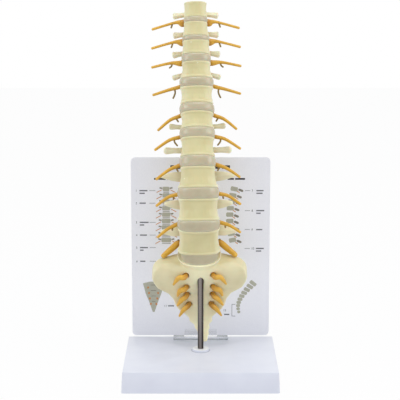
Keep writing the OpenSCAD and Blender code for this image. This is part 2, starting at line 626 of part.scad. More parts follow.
// Sacral nerves: they come out of the front foramina and lie down the front of the sacrum. Each row gives
// the way from the foramen: across, in front of the sacrum, up.
SACRAL_NERVES = [
    [[-1.2, -4.5, 0], [1, 2.4, 1], [7, 2.8, 0.8], [13, 2.8, -9]],
    [[-1, -4.5, 0.3], [0.8, 2.6, 0.5], [6.5, 3.2, -1.5], [9.5, 3.4, -9]],
    [[-1, -4, 0.3], [0.5, 2.8, 0.2], [5.5, 3.4, -4], [10.5, 3.2, -12]],
    [[-1, -4, 0.3], [0.3, 2.8, 0.2], [5, 3.2, -4], [10.5, 2.8, -12.8]]];
SACRAL_SWELL = [0.85, 1.12, 1.08, 0.45];
module sacral_nerve(j, s) {
    row = SACRAL_NERVES[j];
    tilt = tilt_at(FORAMINA[j][0]);
    path = curve([for (p = row) foramen_at(j) + [p.x, 0, 0] - p.y * plate_back(tilt) + p.z * plate_up(tilt)], 2);
    thick = curve(SACRAL_SWELL, 2) * sacral_nerve_d / 2;
    color(NERVE) lean() on_side(s) limb(path, thick, thick, n = 5, ref = [0, 1, 0]);
}

// Stand

module rod() {
    screw_hole_d = screw_d + 2 * rod_clear;
    chamfer = 0.6;
    color(STEEL) difference() {
        translate([0, rod_y, rod_seat_z]) rotate_extrude($fn = 48)
            polygon([[0, 0], [rod_d / 2 - chamfer, 0], [rod_d / 2, chamfer], [rod_d / 2, rod_l - chamfer],
                [rod_d / 2 - chamfer, rod_l], [0, rod_l]]);
        translate([0, rod_y, rod_seat_z - 1]) cylinder(h = screw_l + 2, d = screw_hole_d, $fn = 32);
    }
}

// Screw and washer sit in a recess under the base, clear of the floor
screw_foot = 0.8;
web_t = 3;
washer_z = screw_foot + screw_head_h;
recess_h = washer_z + washer_t;
rod_seat_z = recess_h + web_t;
rod_end_gap = 0.5;
rod_l = rod_top - rod_end_gap - rod_seat_z;
module rod_screw() {
    slot_w = 1.1;
    slot_h = 1.2;
    color(STEEL) difference() {
        translate([0, rod_y, screw_foot]) union() {
            cylinder(h = screw_head_h, d = screw_head_d, $fn = 32);
            cylinder(h = screw_head_h + screw_l, d = screw_d, $fn = 32);
        }
        translate([-screw_head_d, rod_y - slot_w / 2, screw_foot - 1]) cube([2 * screw_head_d, slot_w, slot_h + 1]);
    }
}
module rod_washer() {
    color(STEEL) translate([0, rod_y, washer_z]) difference() {
        cylinder(h = washer_t, d = washer_d, $fn = 32);
        translate([0, 0, -1]) cylinder(h = washer_t + 2, d = screw_d + 0.4, $fn = 32);
    }
}

module rounded_rectangle(w, d, r) {
    square([w - 2 * r, d], center = true);
    square([w, d - 2 * r], center = true);
    for (x = [-1, 1]) for (y = [-1, 1]) translate([x * (w / 2 - r), y * (d / 2 - r)]) circle(r, $fn = 32);
}

// Base: a moulded box, open underneath, with drafted sides and a grid of ribs that reach the floor
module drafted_block() {
    intersection() {
        translate([0, base_d, 0]) rotate([90, 0, 0]) linear_extrude(2 * base_d)
            polygon([[-base_w / 2, 0], [base_w / 2, 0], [base_w / 2 - base_draft, base_h], [base_draft - base_w / 2, base_h]]);
        translate([-base_w, 0, 0]) rotate([90, 0, 90]) linear_extrude(2 * base_w)
            polygon([[-base_d / 2, 0], [base_d / 2, 0], [base_d / 2 - base_draft, base_h], [base_draft - base_d / 2, base_h]]);
        linear_extrude(base_h) rounded_rectangle(base_w, base_d, base_corner_r);
    }
}
rib_pitch = 27;
cells_x = round((base_w - 2 * base_wall) / rib_pitch / 2) * 2;
cells_y = round((base_d - 2 * base_wall) / rib_pitch / 2) * 2;
module base_pockets() {
    inner_w = base_w - 2 * (base_wall + base_draft) + rib_t;
    inner_d = base_d - 2 * (base_wall + base_draft) + rib_t;
    pocket = [inner_w / cells_x - rib_t, inner_d / cells_y - rib_t, base_h - base_wall + 1];
    for (i = [0 : cells_x - 1]) for (j = [0 : cells_y - 1])
        translate([(rib_t - inner_w) / 2 + i * inner_w / cells_x, (rib_t - inner_d) / 2 + j * inner_d / cells_y, -1])
            cube(pocket);
}
module base() {
    color(WHITE) difference() {
        union() {
            drafted_block();
            translate([0, rod_y, 0]) cylinder(h = base_h + boss_h, d = boss_d, $fn = 64);
        }
        difference() {
            base_pockets();
            translate([0, rod_y, -2]) cylinder(h = base_h + 2, d = boss_d, $fn = 64);
        }
        translate([0, rod_y, rod_seat_z]) cylinder(h = base_h + boss_h, d = rod_d + 2 * rod_clear, $fn = 48);
        translate([0, rod_y, -1]) cylinder(h = base_h, d = screw_d + 0.4, $fn = 32);
        translate([0, rod_y, -1]) cylinder(h = recess_h + 1, d = washer_d + 1, $fn = 32);
    }
}

// Card behind the base, and the clear holder: a foot on the deck, a tongue back to the card, and a
// channel that takes the card's lower edge
card_y = base_d / 2 + card_gap;
module info_card() {
    color(CARD) translate([0, card_y + card_t, card_z + card_h / 2]) rotate([90, 0, 0])
        linear_extrude(card_t) rounded_rectangle(card_w, card_h, card_r);
}
module card_holder() {
    top = base_h + holder_t;
    front = card_y - holder_clear - holder_t;
    back = card_y + card_t + holder_clear;
    floor_z = card_z - holder_clear - holder_t;
    foot_front = base_d / 2 - base_draft - holder_foot_d;
    color(CLEAR) union() {
        translate([-holder_foot_w / 2, foot_front, base_h]) cube([holder_foot_w, holder_foot_d, holder_t]);
        translate([0, foot_front, base_h]) rotate([90, 0, 90]) translate([0, 0, -holder_tongue_w / 2])
            linear_extrude(holder_tongue_w) polygon([[0, 0], [front - foot_front, 0],
                [front - foot_front, floor_z - base_h], [back + holder_t - foot_front, floor_z - base_h],
                [back + holder_t - foot_front, floor_z + holder_back_h - base_h],
                [back - foot_front, floor_z + holder_back_h - base_h], [back - foot_front, floor_z + holder_t - base_h],
                [front + holder_t - foot_front, floor_z + holder_t - base_h], [front + holder_t - foot_front, holder_t],
                [0, holder_t]]);
    }
}

base();
rod();
rod_screw();
rod_washer();
card_holder();
info_card();
sacrum();
spinal_cord();
for (i = [0 : top_level]) {
    vertebra(i);
    disc(i);
    for (s = SIDES) spinal_nerve(i, s[1]);
}
for (j = [0 : len(SACRAL) - 1])
    for (s = SIDES) sacral_nerve(j, s[1]);
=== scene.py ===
# %% [markdown]
# A display model of the lower spine: ten vertebrae with their discs and nerves, and the sacrum, on
# a steel rod and a white base. A printed key card stands behind it in a clear holder. The solids
# are loaded first, and everything else is placed by them, so nothing is fitted by eye.

# %% Load the solids
import math

import bmesh
import bpy
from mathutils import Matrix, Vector


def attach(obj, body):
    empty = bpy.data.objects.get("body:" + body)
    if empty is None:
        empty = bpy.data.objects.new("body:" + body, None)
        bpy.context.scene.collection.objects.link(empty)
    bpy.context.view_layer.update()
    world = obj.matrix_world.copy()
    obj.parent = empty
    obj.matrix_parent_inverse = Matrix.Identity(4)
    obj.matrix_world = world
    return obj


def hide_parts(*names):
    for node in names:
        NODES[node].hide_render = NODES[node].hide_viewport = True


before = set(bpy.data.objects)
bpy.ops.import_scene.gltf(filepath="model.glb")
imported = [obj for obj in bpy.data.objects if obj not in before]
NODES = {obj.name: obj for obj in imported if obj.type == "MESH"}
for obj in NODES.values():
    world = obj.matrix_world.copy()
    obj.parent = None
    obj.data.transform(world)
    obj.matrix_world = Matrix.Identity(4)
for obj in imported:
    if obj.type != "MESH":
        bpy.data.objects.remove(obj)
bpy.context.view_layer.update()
mm = 0.001

# %% [markdown]
# The real model is photographed from a little above, with a long lens, so its upright lines stay
# nearly parallel. The camera stands in front of the base, looks down by about eleven degrees, and
# is far enough away that the base's back edge is only a little shorter than its front edge.

# %% Camera
CAMERA_DISTANCE = 1267.9 * mm
CAMERA_HEIGHT = 442.6 * mm
CAMERA_PITCH = 11.17
CAMERA_LENS = 109.9
CAMERA_SENSOR = 36
CAMERA_SHIFT = -0.0015
camera_data = bpy.data.cameras.new("camera")
camera_data.lens = CAMERA_LENS
camera_data.sensor_width = CAMERA_SENSOR
camera_data.shift_x = CAMERA_SHIFT
camera = bpy.data.objects.new("camera", camera_data)
camera.location = (0, -CAMERA_DISTANCE, CAMERA_HEIGHT)
camera.rotation_euler = (math.radians(90 - CAMERA_PITCH), 0, 0)
bpy.context.collection.objects.link(camera)
bpy.context.scene.camera = camera
print("camera:", CAMERA_LENS, "mm lens,", round(CAMERA_DISTANCE, 3), "m away")

# %% [markdown]
# A product on white is lit by large soft lamps. Here the two at the sides do most of the work: they
# brighten the left and right edge of every rounded body, and leave the middle a little deeper,
# which is what makes a column look round. A lamp from above lights the base, and a weak broad one,
# low in front, fills the hollow front of the sacrum. The world is a cool pale grey for light, and
# white for the camera, for gloss and through clear plastic.

# %% Lights and world
def lamp(name, place, aim, size, watts):
    data = bpy.data.lights.new(name, "AREA")
    data.shape = "SQUARE"
    data.size = size
    data.energy = watts
    light = bpy.data.objects.new(name, data)
    light.location = place
    light.rotation_euler = (Vector(aim) - Vector(place)).to_track_quat("-Z", "Y").to_euler()
    bpy.context.collection.objects.link(light)
    return light


MIDDLE = (0, 0.02, 0.2)
LAMPS = (("lamp_above", (0.05, -0.25, 1.5), 1.0, 5.6),
         ("lamp_left", (-1.1, -0.38, 0.7), 0.8, 4.6),
         ("lamp_right", (1.1, -0.38, 0.7), 0.8, 5.1),
         ("lamp_front", (0, -1.5, 0.04), 1.2, 1.3))
ROOM_COLOUR = (0.94, 0.96, 1, 1)
ROOM_STRENGTH = 0.53
for name, place, size, watts in LAMPS:
    lamp(name, place, MIDDLE, size, watts)
world = bpy.data.worlds.new("white_room")
bpy.context.scene.world = world
world.use_nodes = True
world_nodes = world.node_tree.nodes
world_links = world.node_tree.links
room = world_nodes["Background"]
room.inputs["Color"].default_value = ROOM_COLOUR
room.inputs["Strength"].default_value = ROOM_STRENGTH
white = world_nodes.new("ShaderNodeBackground")
white.inputs["Color"].default_value = (1, 1, 1, 1)
choose = world_nodes.new("ShaderNodeMixShader")
world_links.new(room.outputs[0], choose.inputs[1])
world_links.new(white.outputs[0], choose.inputs[2])
world_links.new(choose.outputs[0], world_nodes["World Output"].inputs["Surface"])
bpy.context.scene.view_settings.view_transform = "Standard"


def direct_view(nodes, links):
    ray = nodes.new("ShaderNodeLightPath")
    either = nodes.new("ShaderNodeMath")
    either.operation = "MAXIMUM"
    links.new(ray.outputs["Is Camera Ray"], either.inputs[0])
    links.new(ray.outputs["Is Transmission Ray"], either.inputs[1])
    any_view = nodes.new("ShaderNodeMath")
    any_view.operation = "MAXIMUM"
    links.new(either.outputs[0], any_view.inputs[0])
    links.new(ray.outputs["Is Glossy Ray"], any_view.inputs[1])
    return any_view.outputs[0]


world_links.new(direct_view(world_nodes, world_links), choose.inputs["Fac"])
print("lamps:", [thing.name for thing in bpy.data.lights])

# %% [markdown]
# Colours are picked as they look on a screen, from 0 to 255, and Blender works in linear light. One
# helper turns the first into the second. A second helper makes a material and hands back the node
# that holds its main values. The others each add one small node: a calculation, a change of range,
# a blend of two colours, a noise, a stretched place, the three parts of a place, and a bump.

# %% Colour and material helpers
def colour(red, green, blue):
    linear = []
    for part in (red, green, blue):
        share = part / 255
        linear.append(share / 12.92 if share < 0.04045 else ((share + 0.055) / 1.055) ** 2.4)
    return (*linear, 1)


def material(name, base, roughness, **values):
    made = bpy.data.materials.new(name)
    made.use_nodes = True
    surface = made.node_tree.nodes["Principled BSDF"]
    surface.inputs["Base Color"].default_value = base
    surface.inputs["Roughness"].default_value = roughness
    for key, value in values.items():
        surface.inputs[key.replace("_", " ")].default_value = value
    return made, surface


def calculate(tree, operation, *terms):
    node = tree.nodes.new("ShaderNodeMath")
    node.operation = operation
    for slot, term in enumerate(terms):
        if isinstance(term, (int, float)):
            node.inputs[slot].default_value = term
        else:
            tree.links.new(term, node.inputs[slot])
    return node.outputs[0]


def ranged(tree, value, from_min, from_max, to_min=0.0, to_max=1.0):
    node = tree.nodes.new("ShaderNodeMapRange")
    tree.links.new(value, node.inputs["Value"])
    node.inputs["From Min"].default_value = from_min
    node.inputs["From Max"].default_value = from_max
    node.inputs["To Min"].default_value = to_min
    node.inputs["To Max"].default_value = to_max
    return node.outputs[0]


def blend(tree, share, first, second):
    node = tree.nodes.new("ShaderNodeMixRGB")
    for slot, term in enumerate((share, first, second)):
        if isinstance(term, (tuple, float)):
            node.inputs[slot].default_value = term
        else:
            tree.links.new(term, node.inputs[slot])
    return node.outputs[0]


def noise(tree, vector, scale, detail):
    node = tree.nodes.new("ShaderNodeTexNoise")
    node.inputs["Scale"].default_value = scale
    node.inputs["Detail"].default_value = detail
    tree.links.new(vector, node.inputs["Vector"])
    return node.outputs["Fac"]


def stretched(tree, x, y, z):
    place = tree.nodes.new("ShaderNodeTexCoord")
    node = tree.nodes.new("ShaderNodeMapping")
    node.inputs["Scale"].default_value = (x, y, z)
    tree.links.new(place.outputs["Object"], node.inputs["Vector"])
    return node.outputs[0]


def place_parts(tree):
    parts = tree.nodes.new("ShaderNodeSeparateXYZ")
    tree.links.new(stretched(tree, 1, 1, 1), parts.inputs[0])
    return parts.outputs


def bumped(tree, surface, height, depth, strength=0.35):
    node = tree.nodes.new("ShaderNodeBump")
    node.inputs["Strength"].default_value = strength
    node.inputs["Distance"].default_value = depth
    tree.links.new(height, node.inputs["Height"])
    tree.links.new(node.outputs["Normal"], surface.inputs["Normal"])


print("a middle grey of 128 is", round(colour(128, 128, 128)[0], 3), "in linear light")


# %% [markdown]
# Cast and moulded plastic is never quite one colour. A shader group holds that once: it mottles a
# colour softly, and puts out a fine height for the bump. By the mesh's own curvature it also paints
# shade into the creases and a highlight onto the ridges: painted shade and painted highlight.

# %% Shader group: mottle, painted shade and painted highlight
HOLLOW_BEND = (0.497, 0.43)
RIDGE_BEND = (0.507, 0.57)
GRAIN_SCALE = 900


def uneven_casting():
    group = bpy.data.node_groups.new("uneven_casting", "ShaderNodeTree")
    face = group.interface
    for name in ("Colour", "Dark patch and painted shade", "Painted highlight"):
        face.new_socket(name, in_out="INPUT", socket_type="NodeSocketColor")
    for name in ("Patch size", "Painted shade share", "Painted highlight share"):
        face.new_socket(name, in_out="INPUT", socket_type="NodeSocketFloat")
    face.new_socket("Colour", in_out="OUTPUT", socket_type="NodeSocketColor")
    face.new_socket("Height", in_out="OUTPUT", socket_type="NodeSocketFloat")
    start = group.nodes.new("NodeGroupInput")
    end = group.nodes.new("NodeGroupOutput")
    place = group.nodes.new("ShaderNodeTexCoord")
    patches = group.nodes.new("ShaderNodeTexNoise")
    patches.inputs["Detail"].default_value = 3
    group.links.new(place.outputs["Object"], patches.inputs["Vector"])
    group.links.new(start.outputs["Patch size"], patches.inputs["Scale"])
    bend = group.nodes.new("ShaderNodeNewGeometry").outputs["Pointiness"]
    hollow = ranged(group, bend, *HOLLOW_BEND)
    raised = ranged(group, bend, *RIDGE_BEND)
    # Painted shade darkens the creases, and a painted highlight lightens the ridges.
    painted_shade = calculate(group, "MULTIPLY", hollow, start.outputs["Painted shade share"])
    painted_highlight = calculate(group, "MULTIPLY", raised, start.outputs["Painted highlight share"])
    patchy = ranged(group, patches.outputs["Fac"], 0.40, 0.75, 0, 0.3)
    mottled = blend(group, patchy, start.outputs["Colour"], start.outputs["Dark patch and painted shade"])
    shaded = blend(group, painted_shade, mottled, start.outputs["Dark patch and painted shade"])
    with_painted_highlight = blend(group, painted_highlight, shaded, start.outputs["Painted highlight"])
    group.links.new(with_painted_highlight, end.inputs["Colour"])
    group.links.new(noise(group, place.outputs["Object"], GRAIN_SCALE, 2), end.inputs["Height"])
    return group


MOTTLE_AND_PAINTED_LIGHT = uneven_casting()


def cast_material(name, base, hollow, painted_highlight, look, roughness, grain_depth, **values):
    made, surface = material(name, base, roughness, **values)
    tree = made.node_tree
    mottle_and_painted_light = tree.nodes.new("ShaderNodeGroup")
    mottle_and_painted_light.name = "mottle_and_painted_light"
    mottle_and_painted_light.node_tree = MOTTLE_AND_PAINTED_LIGHT
    for key, value in zip(("Colour", "Dark patch and painted shade", "Painted highlight"), (base, hollow, painted_highlight)):
        mottle_and_painted_light.inputs[key].default_value = value
    for key, value in zip(("Patch size", "Painted shade share", "Painted highlight share"), look):
        mottle_and_painted_light.inputs[key].default_value = value
    # The group's colour holds the mottle, the painted shade and the painted highlight.
    tree.links.new(mottle_and_painted_light.outputs["Colour"], surface.inputs["Base Color"])
    bumped(tree, surface, mottle_and_painted_light.outputs["Height"], grain_depth)
    return made


print("inputs of the group:", [socket.name for socket in MOTTLE_AND_PAINTED_LIGHT.interface.items_tree][:6])

# %% [markdown]
# Four finishes come from that group. The bones are cream casting resin with a satin skin. The discs
# are a soft grey plastic that lets a little light in and shines more. The nerves are painted
# golden, and the cord behind the bodies is a paler yellow.

# %% Finishes of the cast pieces
BONE = cast_material(
    "cast_bone", colour(219, 210, 160), colour(188, 174, 114), colour(245, 241, 214), (55, 0.9, 0.75),
    0.4, 0.1 * mm, Subsurface_Weight=0.15, Subsurface_Scale=3 * mm)
DISC = cast_material(
    "soft_disc", colour(194, 183, 152), colour(156, 144, 116), colour(226, 219, 198), (90, 0.8, 0.6),
    0.26, 0.05 * mm, Subsurface_Weight=0.3, Subsurface_Scale=4 * mm, Coat_Weight=0.3,
    Coat_Roughness=0.15)
NERVE = cast_material(
    "painted_nerve", colour(228, 174, 50), colour(172, 110, 18), colour(242, 204, 108),
    (140, 0.5, 0.35), 0.36, 0.08 * mm)
CORD = cast_material(
    "painted_cord", colour(228, 198, 122), colour(196, 156, 78), colour(240, 220, 160), (90, 0.6, 0.4),
    0.4, 0.08 * mm)
print("cast finishes:", [made.name for made in (BONE, DISC, NERVE, CORD)])

# %% [markdown]
# The nerves are browner where they leave the column: painted shade in the corner beside the body.
# The bodies are narrower towards the top and the column leans a little, so the edge of that shade
# is a distance from the column's middle that changes with the height. The side branches are greyer
# all over. The same way of painting gives painted light to the thin processes of the bones and the
# sides of the bodies, which makes them paler than their middle, for light that passes through thin
# resin. The sacrum's front gets painted light along its middle, for the light the base throws back.

# %% Painted shade at the roots, painted light on the edges
COLUMN_SLOPE = 0.01623
COLUMN_SHIFT = 0.65 * mm
PAINTED_ROOT_SHADE = colour(172, 98, 24)
PAINTED_EDGE_LIGHT = colour(252, 249, 220)
PAINTED_BOUNCE_LIGHT = colour(253, 246, 204)
TWIG = cast_material(
    "painted_branch", colour(142, 118, 62), colour(96, 78, 40), colour(170, 148, 92), (140, 0.5, 0.35),
    0.42, 0.08 * mm)
SACRAL_NERVE = NERVE.copy()
SACRAL_NERVE.name = "painted_sacral_nerve"
SACRAL_BONE = BONE.copy()
SACRAL_BONE.name = "cast_sacral_bone"
# The sacrum's finish takes less painted shade in its creases, and the full painted highlight on its
# ridges.
for key, value in (("Colour", colour(232, 223, 182)), ("Painted shade share", 0.15), ("Painted highlight share", 1)):
    SACRAL_BONE.node_tree.nodes["mottle_and_painted_light"].inputs[key].default_value = value


# Blends a tone into a finish's colour by the distance from the column's middle: here painted shade on
# the nerves and painted light on the bones.
def shade_from_edge(finish, edge_at_floor, edge_rise, start, stop, depth, tone):
    tree = finish.node_tree
    mottle_and_painted_light = tree.nodes["mottle_and_painted_light"]
    parts = place_parts(tree)
    middle = calculate(tree, "MULTIPLY_ADD", parts["Z"], COLUMN_SLOPE, -COLUMN_SHIFT)
    across = calculate(tree, "ABSOLUTE", calculate(tree, "ADD", parts["X"], middle))
    edge = calculate(tree, "MULTIPLY_ADD", parts["Z"], edge_rise, edge_at_floor)
    outside = calculate(tree, "SUBTRACT", across, edge)
    share = ranged(tree, outside, start, stop, 0, depth)
    shaded = blend(tree, share, mottle_and_painted_light.outputs["Colour"], tone)
    tree.links.new(shaded, tree.nodes["Principled BSDF"].inputs["Base Color"])


# Painted shade: brown where the nerves meet the column and the sacrum's openings.
shade_from_edge(NERVE, edge_at_floor=31 * mm, edge_rise=-0.036, start=0, stop=-6 * mm,
                depth=0.8, tone=PAINTED_ROOT_SHADE)
shade_from_edge(SACRAL_NERVE, edge_at_floor=14 * mm, edge_rise=0.045, start=0, stop=-4 * mm,
                depth=0.5, tone=PAINTED_ROOT_SHADE)
# Painted light: the processes and the sides of the bodies are paler than the middle.
shade_from_edge(BONE, edge_at_floor=26 * mm, edge_rise=-0.036, start=-5 * mm, stop=7 * mm,
                depth=0.75, tone=PAINTED_EDGE_LIGHT)
# Painted light: a paler middle on the sacrum's front, for the light the base throws back.
shade_from_edge(SACRAL_BONE, edge_at_floor=26 * mm, edge_rise=-0.04, start=0, stop=-16 * mm,
                depth=0.85, tone=PAINTED_BOUNCE_LIGHT)
print("finishes:", [thing.name for thing in bpy.data.materials])

# %% [markdown]
# The solids of the cast pieces are built from flat facets, to keep them light. The shapes that show
# are finer. The bodies, discs and nerves follow the same plan as the solids, so the plan is set up
# here first: each body has a lower and an upper plate, each plate has a width and a tilt, and the
# bodies are stacked up from the sacrum's front edge. All lengths are in millimetres until a mesh is
# made.

# %% Plan of the column
BODY_HEIGHTS = (25.5, 23.6, 23, 20.5, 17.9, 17.9, 17.9, 14.8, 15, 16.2)
DISC_HEIGHTS = (13.5, 12.2, 12, 11.8, 10.2, 9.2, 9, 8.2, 4.8, 5.1)
PLATE_WIDTHS = (46.5, 45, 43.5, 37.3, 36.3, 35.6, 35.6, 31, 29, 25.2, 24.5)
LOW_TILTS = (-12, 8, 12, 19, 22, 21, 14, 16, 14.5, 14)
UP_TILTS = (-6, 8, 16, 19, 24, 14, 16, 15, 14, 13)
SACRAL_TILT = -34
LUMBOSACRAL_TILT = -4
PROMONTORY = Vector((0, 0, 119.7))
LEVELS = ("l5", "l4", "l3", "l2", "l1", "t12", "t11", "t10", "t9", "t8")
LEAN = math.radians(0.93)
LEAN_HEIGHT = 40
LEAST_DEPTH = 11
DEPTH_SHARE = 0.48


def back_of(tilt):
    return Vector((0, math.cos(math.radians(tilt)), -math.sin(math.radians(tilt))))


def up_of(tilt):
    return Vector((0, math.sin(math.radians(tilt)), math.cos(math.radians(tilt))))


def depth_of(width):
    return LEAST_DEPTH + DEPTH_SHARE * width


LOW_FRONTS, UP_FRONTS = [], []
for level in range(len(LEVELS)):
    below = UP_FRONTS[-1] if level else PROMONTORY
    tilt = (UP_TILTS[level - 1] + LOW_TILTS[level]) / 2 if level else LUMBOSACRAL_TILT
    LOW_FRONTS.append(below + DISC_HEIGHTS[level] * up_of(tilt))
    tilt = (LOW_TILTS[level] + UP_TILTS[level]) / 2
    UP_FRONTS.append(LOW_FRONTS[level] + BODY_HEIGHTS[level] * up_of(tilt))


def low_back(level):
    return LOW_FRONTS[level] + depth_of(PLATE_WIDTHS[level]) * back_of(LOW_TILTS[level])


def leaned(point):
    rise = point.z - LEAN_HEIGHT
    return Vector((point.x * math.cos(LEAN) - rise * math.sin(LEAN), point.y,
                   LEAN_HEIGHT + point.x * math.sin(LEAN) + rise * math.cos(LEAN)))


print("top of the column:", round(leaned(UP_FRONTS[-1]).z, 1), "mm")

# %% [markdown]
# Everything cast in this model can be drawn as a row of rings with a skin over them: a body is a
# row of ovals, a nerve is a row of small circles along a curve. One helper turns such a row into a
# closed mesh, and another lays a plate's oval outline at any tilt.

# %% Rings and skins
RING_POINTS = 72
SIDE_POWER = 0.85
FRONT_POWER = 0.9
BACK_HOLLOW = 2.2


def signed_power(value, power):
    return math.copysign(abs(value) ** power, value)


def plate_ring(front, tilt, width, size, hang=0.0, shape=(1, 0, 0)):
    ring = []
    depth = depth_of(width)
    for step in range(RING_POINTS):
        c, s = (f(2 * math.pi * step / RING_POINTS) for f in (math.cos, math.sin))
        x = width * size / 2 * signed_power(c, SIDE_POWER)
        y = depth * size / 2 * signed_power(s, FRONT_POWER)
        if s > 0:
            y -= BACK_HOLLOW * size * s ** 6
        v = 2 * y / depth
        drop = hang * max(0, shape[0] + shape[1] * v + shape[2] * v * v)
        ring.append(front + Vector((x, 0, 0)) + (y + depth / 2) * back_of(tilt) - drop * up_of(tilt))
    return ring


def add_skin(build, rings, finish=0):
    rows = [[build.verts.new(leaned(point) * mm) for point in ring] for ring in rings]
    count = len(rows[0])
    for low, high in zip(rows, rows[1:]):
        for k in range(count):
            build.faces.new((low[k], low[(k + 1) % count], high[(k + 1) % count], high[k]))
    for row, ring, turned in ((rows[0], rings[0], True), (rows[-1], rings[-1], False)):
        centre = build.verts.new(leaned(sum(ring, Vector()) / count) * mm)
        for k in range(count):
            pair = (row[k], row[(k + 1) % count])
            build.faces.new((centre, *reversed(pair)) if turned else (centre, *pair))
    for face in build.faces:
        if face.material_index == 0 and finish and face.tag is False:
            face.material_index = finish
        face.tag = True


def skinned_piece(name, skins, finishes):
    build = bmesh.new()
    for rings, finish in skins:
        add_skin(build, rings, finish)
    bmesh.ops.recalc_face_normals(build, faces=build.faces)
    mesh = bpy.data.meshes.new(name)
    build.to_mesh(mesh)
    build.free()
    for face in mesh.polygons:
        face.use_smooth = True
    piece = bpy.data.objects.new(name, mesh)
    bpy.context.collection.objects.link(piece)
    for finish in finishes:
        mesh.materials.append(finish)
    return piece


lowest = plate_ring(LOW_FRONTS[0], LOW_TILTS[0], PLATE_WIDTHS[0], 1)
print("points round the lowest plate:", len(lowest))

# %% [markdown]
# An arch with its seven processes is too branched for one row of rings. Its solid is copied,
# merged, joined with the finer body, and turned into an even grid of small faces, which grows all
# of it together. A few rounds of smoothing then round the joints, as a mould maker would. The
# solids stay for the physics and aren't shown.

# %% Growing pieces together
def select_only(*pieces):
    bpy.ops.object.select_all(action="DESELECT")
    for piece in pieces:
        piece.select_set(True)
    bpy.context.view_layer.objects.active = pieces[0]


def apply_modifier(piece, kind, **settings):
    modifier = piece.modifiers.new(kind.lower(), kind)
    for key, value in settings.items():
        setattr(modifier, key, value)
    select_only(piece)
    bpy.ops.object.modifier_apply(modifier=modifier.name)


def merged_copy(node, finish):
    piece = bpy.data.objects.new(node + "_shown", NODES[node].data.copy())
    bpy.context.collection.objects.link(piece)
    piece.data.materials.clear()
    piece.data.materials.append(finish)
    select_only(piece)
    bpy.ops.object.mode_set(mode="EDIT")
    bpy.ops.mesh.select_all(action="SELECT")
    bpy.ops.mesh.remove_doubles(threshold=0.001 * mm)
    bpy.ops.object.mode_set(mode="OBJECT")
    return piece


def shown_for(piece, node):
    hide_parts(node)
    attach(piece, "root")
    return piece


def grow(piece, finer, voxel, rounds):
    select_only(piece, *finer)
    bpy.ops.object.join()
    apply_modifier(piece, "REMESH", mode="VOXEL", voxel_size=voxel)
    apply_modifier(piece, "SMOOTH", factor=0.5, iterations=rounds)
    select_only(piece)
    bpy.ops.object.shade_smooth()
    return piece


kept = [name for name in NODES if name.startswith(("rod", "info", "card"))]
print("solids that finer pieces will stand for:", len(NODES) - len(kept))

# %% [markdown]
# A vertebral body is a drum with a gentle waist and a crisp lip round each plate. The lip is what
# catches the light, so it gets four rings of its own. The lowest body's rim sags at the sides.

# %% Vertebrae
RIM_HEIGHT = 2
RIM_SAG = 3
RIM_SHAPE = (1, -0.25, -0.75)
WAIST = 0.9
UPPER_WAIST = 0.945
LAST_WAISTED = 6
WAIST_STEPS = 8
LIP = ((0, 0.97), (0.12, 0.99), (0.35, 1.002), (0.9, 1.002), (1.1, 0.99))
BODY_VOXEL = 0.5 * mm
BODY_ROUNDS = 3


def between(first, second, share):
    return first + (second - first) * share


def body_rings(level):
    lip = RIM_HEIGHT / BODY_HEIGHTS[level]
    waist = WAIST if level <= LAST_WAISTED else UPPER_WAIST
    below_rim = between(waist, 1, 0.5)
    profile = [(height * lip, size) for height, size in LIP]
    for step in range(WAIST_STEPS + 1):
        share = between(1.5 * lip, 1 - 1.5 * lip, step / WAIST_STEPS)
        away = abs(2 * step / WAIST_STEPS - 1)
        profile.append((share, between(waist, below_rim, away ** 1.4)))
    profile += [(1 - height * lip, size) for height, size in reversed(LIP)]
    rings = []
    for share, size in profile:
        rings.append(plate_ring(LOW_FRONTS[level].lerp(UP_FRONTS[level], share),
                                between(LOW_TILTS[level], UP_TILTS[level], share),
                                between(PLATE_WIDTHS[level], PLATE_WIDTHS[level + 1], share), size,
                                (1 - share) * RIM_SAG if level == 0 else 0, RIM_SHAPE))
    return rings


for level, name in enumerate(LEVELS):
    body = skinned_piece("body_" + name, [(body_rings(level), 0)], [BONE])
    piece = grow(merged_copy("vertebra_" + name, BONE), [body], BODY_VOXEL, BODY_ROUNDS)
    shown_for(piece, "vertebra_" + name)
    print("vertebra", name, len(piece.data.polygons), "faces")

# %% [markdown]
# The sacrum is one casting. Its broad faces are smoothed for longer, and a finer drum with its lip
# is grown into it first, because that lip is the brightest line of the whole piece. The lip stands
# up beside the lowest disc like the side of a cup.

# %% Sacrum
CUP_RISE = 1.4
CUP_SHAPE = (1, -0.6, -1.6)
DRUM = ((9, 0.87, 0.2), (1.7 * RIM_HEIGHT, 0.96, 0.6), (1.25 * RIM_HEIGHT, 0.985, 1),
        (RIM_HEIGHT, 1.008, 1), (0.35 * RIM_HEIGHT, 1.02, 1), (0.1 * RIM_HEIGHT, 1.012, 1), (0, 1, 1),
        (0, 0.955, 0))


def drum_rings():
    return [plate_ring(PROMONTORY - depth * up_of(SACRAL_TILT), SACRAL_TILT, PLATE_WIDTHS[0], size,
                       -rise * CUP_RISE, CUP_SHAPE) for depth, size, rise in DRUM]


sacrum = grow(merged_copy("sacrum", SACRAL_BONE), [], 0.7 * mm, 14)
drum = skinned_piece("drum", [(drum_rings(), 0)], [SACRAL_BONE])
grow(sacrum, [drum], 0.6 * mm, 3)
shown_for(sacrum, "sacrum")
print("sacrum", len(sacrum.data.polygons), "faces")

# %% [markdown]
# Each disc is a barrel of soft plastic between two plates. The lower ones bulge past the bone, and
# the one on the sacrum is narrower, so that it sits inside the lip.

# %% Discs
DISC_BULGE = 1.2
BULGES = (-1.9, 0.4, 0.5, 0.7, 0.9, 1, 0.7, 0.4, 0.3, 0.3)
DISC_END = 0.972
DISC_STEPS = 12


